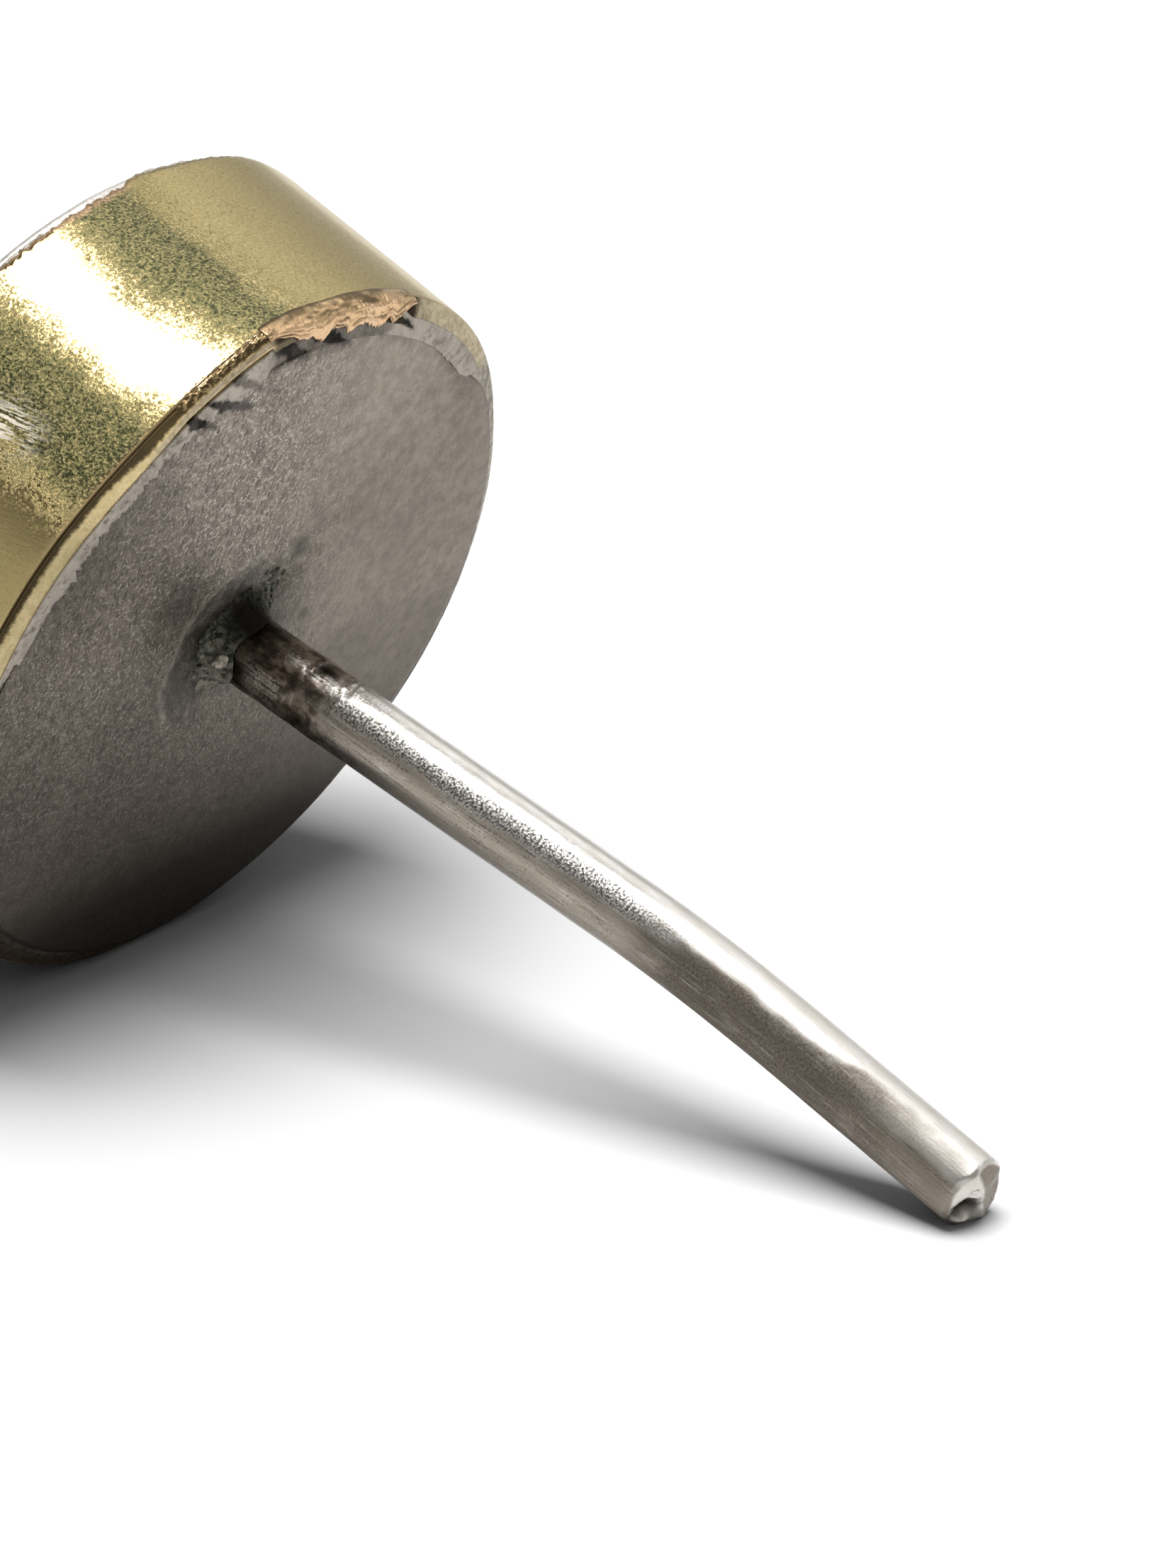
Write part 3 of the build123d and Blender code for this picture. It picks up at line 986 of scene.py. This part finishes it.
def post_marks(s, phi):
    """The wire's masks, from the way along it and the turn round it in radians."""
    x, z, turn = np.cos(phi), np.sin(phi), np.degrees(phi)
    patch = layered(s * 1.5, x * 2, z * 2, seed=121)
    uneven = 9 * layered(s * 0.9, x, z, seed=122)
    brown = between(turn + 2 * uneven + 16 * step(s, 8.5, 11.0), 130, 356, 22)
    brown = brown * step(s + 0.3 * patch, 6.5, 7.5)
    soot_and_shade = bump(turn, 108, 68) * (1 - step(s + 0.2 * patch, 0.62, 1.15))
    soot_and_shade = np.maximum(soot_and_shade, bump(turn, 98, 16) * bump(s + 0.1 * patch, 1.55, 0.16))
    soot_and_shade = np.maximum(soot_and_shade, 0.88 * (1 - step(s + 0.15 * patch, 0.50, 0.85)))
    # A painted highlight: the burnt scale left off where the highlight runs along the root; and a pale patch
    # lower down
    highlight_and_patch = bump(turn, 112, 14) * step(s, 0.95, 1.2) * (1 - step(s, 2.0, 2.3))
    highlight_and_patch = np.maximum(highlight_and_patch, 0.8 * between(turn, 158, 200, 10) * between(s + 0.1 * patch, 0.75, 1.2, 0.1))
    return {
        "burnt_and_shade": 1 - step(s + 0.35 * patch - 0.5 * bump(turn, 215, 60), 1.55, 2.15),
        "tan": between(turn + uneven, 150, 330, 12) * step(s, 1.5, 2.2),
        "brown": brown * (1 - 0.55 * step(s + 0.4 * patch, 9.8, 11.5)),
        "matte": step(s, 6.2, 7.6) * (1 - 0.6 * step(s, 11.5, 11.7)),
        "mottle": between(turn + uneven, 118, 141, 7) * step(s, 1.6, 2.2) * (1 - step(s, 6.5, 8.0)),
        "soot_and_shade": soot_and_shade,
        "highlight_and_patch": highlight_and_patch,
    }


def make_post():
    """The silver wire, from its root in the solder to its snipped tip."""
    s, centre, ways = post_line()
    level = unit(np.cross(np.array([0, 0, 1.0]), ROOT_WAY))
    ups = np.cross(ways, level)
    length, end_way = s[-1], ways[-1]
    phi = np.linspace(0, 2 * math.pi, POST_AROUND, endpoint=False)
    x, z = np.cos(phi), np.sin(phi)
    outward = x[None, :, None] * level + z[None, :, None] * ups[:, None, :]
    offset = post_radius(s[:, None], x[None, :], z[None, :])[..., None] * outward

    # The wall's last stretch is drawn to where the snip reaches it, and rounded a little
    near = step(s, length - 0.45, length)[:, None]
    drawn = near * tip_height(x * WIRE_RADIUS, z * WIRE_RADIUS)[None, :]
    rounded = 1 - 0.06 * step(s, length - 0.07, length)[:, None] ** 2
    offset += drawn[..., None] * end_way
    along = (offset @ end_way)[..., None] * end_way
    wall = centre[:, None, :] + along + (offset - along) * rounded[..., None]

    # The snipped tip, in rings towards its middle
    rings = 0.94 * (1 - np.arange(1, TIP_RINGS)[:, None] / TIP_RINGS) * WIRE_RADIUS
    face_x, face_z = (rings * x).ravel(), (rings * z).ravel()
    face = centre[-1] + face_x[:, None] * level + face_z[:, None] * ups[-1]
    face += tip_height(face_x, face_z)[:, None] * end_way
    tip_middle = centre[-1] + tip_height(0.0, 0.0) * end_way

    points = lifted(np.concatenate([wall.reshape(-1, 3), face, [tip_middle, centre[0]]]))
    rows = POST_STEPS + TIP_RINGS - 1
    first, count = np.arange(POST_AROUND), rows * POST_AROUND
    faces = grid_faces(rows, POST_AROUND, False, True)
    faces += cap(first + count - POST_AROUND, count) + cap(first, count + 1)

    all_s = np.concatenate([np.repeat(s, POST_AROUND), np.full(len(face) + 1, length), [0]])
    all_phi = np.concatenate([np.tile(phi, rows), [0, 0]])
    marks = post_marks(all_s, all_phi)
    across, along = ridge_lines(face_x, face_z)
    pit = hollow(across, along, 0.12, 0.18)
    facet = step(across, RIDGE_AT + 0.04, RIDGE_AT + 0.12)
    on_face = slice(POST_STEPS * POST_AROUND, -2)
    # On the snipped face, brown, tan, burnt scale and soot are painted shade: dark in the pit, and darker on
    # the right facet, which lies in shadow; tan also lies lightly over the whole face
    marks["brown"][on_face] = 0.95 * pit + 0.55 * facet
    marks["tan"][on_face] = facet + 0.2
    marks["burnt_and_shade"][on_face] = 0.75 * pit
    marks["soot_and_shade"][on_face] = 0.92 * pit
    place = np.stack([all_phi * WIRE_RADIUS, all_s, 0 * all_s], axis=-1)
    place[on_face, 0] += face_x
    place[on_face, 1] += face_z
    marks["place"] = place
    make_piece("post_wire", points, faces, POST, marks, "ear_post")


def make_post_solder():
    """The burnt collar: an uneven skirt of solder that climbs a little way up the wire."""
    phi = np.linspace(-180, 180, 300, endpoint=False)[None, :]
    t = np.linspace(0, 1, 56)[:, None]
    spread = 0.66 + 0.26 * round_bump(phi, -128, 42) + 0.24 * round_bump(phi, 40, 34)
    ragged = 0.10 * layered(phi * 0.06, 0.0, seed=131) + 0.06 * layered(phi * 0.22, 0.0, seed=133)
    outer = spread * (1 + ragged)
    radius = outer + (WIRE_RADIUS + 0.015 - outer) * t**0.8
    x, y = face_xy(phi, radius)
    climb = 0.16 + 0.24 * round_bump(phi, -10, 45) + 0.26 * round_bump(phi, -105, 45)
    height = BEVEL_RISE - 0.02 + 0.035 * step(t, 0, 0.10) + climb * t**2.4
    lump = 0.060 * layered(x * 5, y * 5, seed=132) + 0.034 * layered(x * 12, y * 12, seed=134)
    height += lump * np.sin(math.pi * np.clip(t, 0.0, 0.9))
    # It follows the wire, which leans away from the head's axis
    lean = (ROOT_WAY - OUT * (ROOT_WAY @ OUT)) / (ROOT_WAY @ OUT)
    skin = head_point(phi + 0 * t, radius, height) + (height * t)[..., None] * lean
    inner = head_point(phi, WIRE_RADIUS - 0.03 + 0 * phi, BEVEL_RISE - 0.03 + 0 * phi)
    under = head_point(phi, outer - 0.02, BEVEL_RISE - 0.04 + 0 * phi)
    points = np.concatenate([skin, inner, under])
    place = flat_place(points.reshape(-1, 3))
    marks = {
        "place": place,
        "dark": 1.2 * spot(place[:, 0], place[:, 1], (-0.08, 0.46), 0.36),
        # Painted highlights on the lumps to the left
        "bright": 0.35 * round_bump(np.degrees(np.arctan2(place[:, 0], place[:, 1])), -135, 30),
    }
    faces = grid_faces(*points.shape[:2], True, True)
    make_piece("solder_collar", points, faces, BURNT, marks, "post_solder")


def make_solder_bead():
    """The one bright bead of spare solder."""
    middle = head_point(np.array(-84.0), 0.55, 0.44)
    points, faces = lumpy_ball(middle, (0.10, 0.085, 0.08), 0.35, 141, rows=28, around=40)
    marks = {"place": flat_place(points), "dark": np.zeros(len(points))}
    make_piece("solder_bead", points, faces, SEAM_SOLDER, marks)


# Groups of flux crumbs round the joint: angle, distance from the post's middle, spread, how many
CRUMB_GROUPS = ((-110, 0.74, 0.15, 80), (40, 0.80, 0.15, 24), (-80, 0.66, 0.14, 30))


def make_flux_crumbs():
    """Green-black flux crumbs on the plate and the collar's skirt, clear of the wire."""
    rng = np.random.default_rng(7)
    points, faces, count = [], [], 0
    for angle, reach, spread, many in CRUMB_GROUPS:
        for k in range(many):
            x = reach * math.sin(math.radians(angle)) + rng.normal(0, spread)
            y = reach * math.cos(math.radians(angle)) + rng.normal(0, spread)
            push = max(1.0, (WIRE_RADIUS + 0.12) / math.hypot(x, y))
            x, y = x * push, y * push
            size = rng.uniform(0.012, 0.042)
            mound = 1.6 * max(0.0, 0.9 - math.hypot(x, y)) ** 2 * (1 - y) / 2
            middle = ROOT + x * SIDE + y * UP + (BEVEL_RISE + 0.1 * size + mound) * OUT
            ball, ball_faces = lumpy_ball(middle, (size, size, 0.6 * size), 0.5, 150 + k, rows=12, around=18)
            points.append(ball)
            faces += [[corner + count for corner in face] for face in ball_faces]
            count += len(ball)
    points = np.concatenate(points)
    make_piece("flux_crumbs", points, faces, VERDIGRIS, {"place": flat_place(points)})


# ---- floor, light and camera

FLOOR_HALF = 3.0
LAMP_HEIGHT = 1.0
CAMERA_AZIMUTH = 39.25
CAMERA_ELEVATION = 23.95
CAMERA_LENS = 181.63
CAMERA_DISTANCE = 20 * HEAD_RADIUS
CAMERA_AIM = ROOT + np.array([3.8196, 2.1740, -1.6496])


def make_floor():
    corners = [(x * FLOOR_HALF, y * FLOOR_HALF, 0) for x, y in ((-1, -1), (1, -1), (1, 1), (-1, 1))]
    mesh = bpy.data.meshes.new("table")
    mesh.from_pydata(corners, [], [(0, 1, 2, 3)])
    white = {"Base_Color": (0.88, 0.88, 0.88, 1), "Specular_IOR_Level": 0.1}
    mesh.materials.append(Shader("table_white", Metallic=0.0, Roughness=0.9, **white).material)
    add_object("table", mesh)


def make_lamp(name, size, energy, glossy):
    """A square lamp above the part, seen in reflections or not."""
    data = bpy.data.lights.new(name, "AREA")
    data.shape = "SQUARE"
    data.size = size
    data.energy = energy
    lamp = add_object(name, data)
    lamp.location = (0, 0, LAMP_HEIGHT)
    lamp.visible_glossy = glossy
    lamp.visible_camera = False


def grey_ramp(tree, value, stops, blue=1.0):
    """Greys along a value, from (place, brightness) pairs."""
    ramp = tree.nodes.new("ShaderNodeValToRGB")
    tree.links.new(value, ramp.inputs[0])
    for k, (at, level) in enumerate(stops):
        stop = ramp.color_ramp.elements[k] if k < 2 else ramp.color_ramp.elements.new(at)
        stop.position = at
        stop.color = (level, level, level * blue, 1)
    return ramp.outputs[0]


def make_world():
    """What the metal reflects: pale low down, dark overhead, with a bright screen at the back."""
    world = bpy.data.worlds.new("studio")
    world.use_nodes = True
    bpy.context.scene.world = world
    world.cycles_visibility.diffuse = False
    tree = world.node_tree
    where = tree.nodes.new("ShaderNodeTexCoord")
    split = tree.nodes.new("ShaderNodeSeparateXYZ")
    tree.links.new(where.outputs["Generated"], split.inputs[0])
    room = ((0.0, 0.62), (0.06, 0.60), (0.50, 0.48), (0.74, 0.07), (1.0, 0.05))
    screen = ((0.42, 0.0), (0.55, 1.0), (0.86, 1.0), (0.93, 0.0))
    back = tree.nodes.new("ShaderNodeMapRange")
    back.inputs["From Min"].default_value = 0.30
    back.inputs["From Max"].default_value = 0.55
    tree.links.new(split.outputs["Y"], back.inputs["Value"])
    glow = tree.nodes.new("ShaderNodeMix")
    glow.data_type = "RGBA"
    glow.blend_type = "ADD"
    tree.links.new(back.outputs[0], glow.inputs[0])
    tree.links.new(grey_ramp(tree, split.outputs["Z"], room, blue=0.98), glow.inputs[6])
    tree.links.new(grey_ramp(tree, split.outputs["Z"], screen), glow.inputs[7])
    tree.links.new(glow.outputs[2], tree.nodes["Background"].inputs[0])


def make_camera():
    azimuth, elevation = math.radians(CAMERA_AZIMUTH), math.radians(CAMERA_ELEVATION)
    back = np.array([
        math.sin(azimuth) * math.cos(elevation),
        -math.cos(azimuth) * math.cos(elevation),
        math.sin(elevation),
    ])
    data = bpy.data.cameras.new("camera")
    data.sensor_width = 36.0
    data.lens = CAMERA_LENS
    data.clip_start = 0.001
    data.clip_end = 20.0
    camera = add_object("camera", data)
    camera.location = Vector((CAMERA_AIM + back * CAMERA_DISTANCE) * MM)
    camera.rotation_mode = "QUATERNION"
    camera.rotation_quaternion = Vector(-back).to_track_quat("-Z", "Y")
    bpy.context.scene.camera = camera


make_band()
make_back_plate()
make_front_plate()
make_rear_crust()
make_front_seam()
make_band_seam()
make_torn_lip()
make_post()
make_post_solder()
make_solder_bead()
make_flux_crumbs()
make_floor()
make_lamp("softbox", 0.66, 7.0, True)
make_lamp("softbox_fill", 0.60, 6.2, False)
make_lamp("room_fill", 4.0, 11.0, False)
bpy.context.scene.cycles.caustics_reflective = False
make_world()
make_camera()
bpy.context.scene.view_settings.view_transform = "Standard"
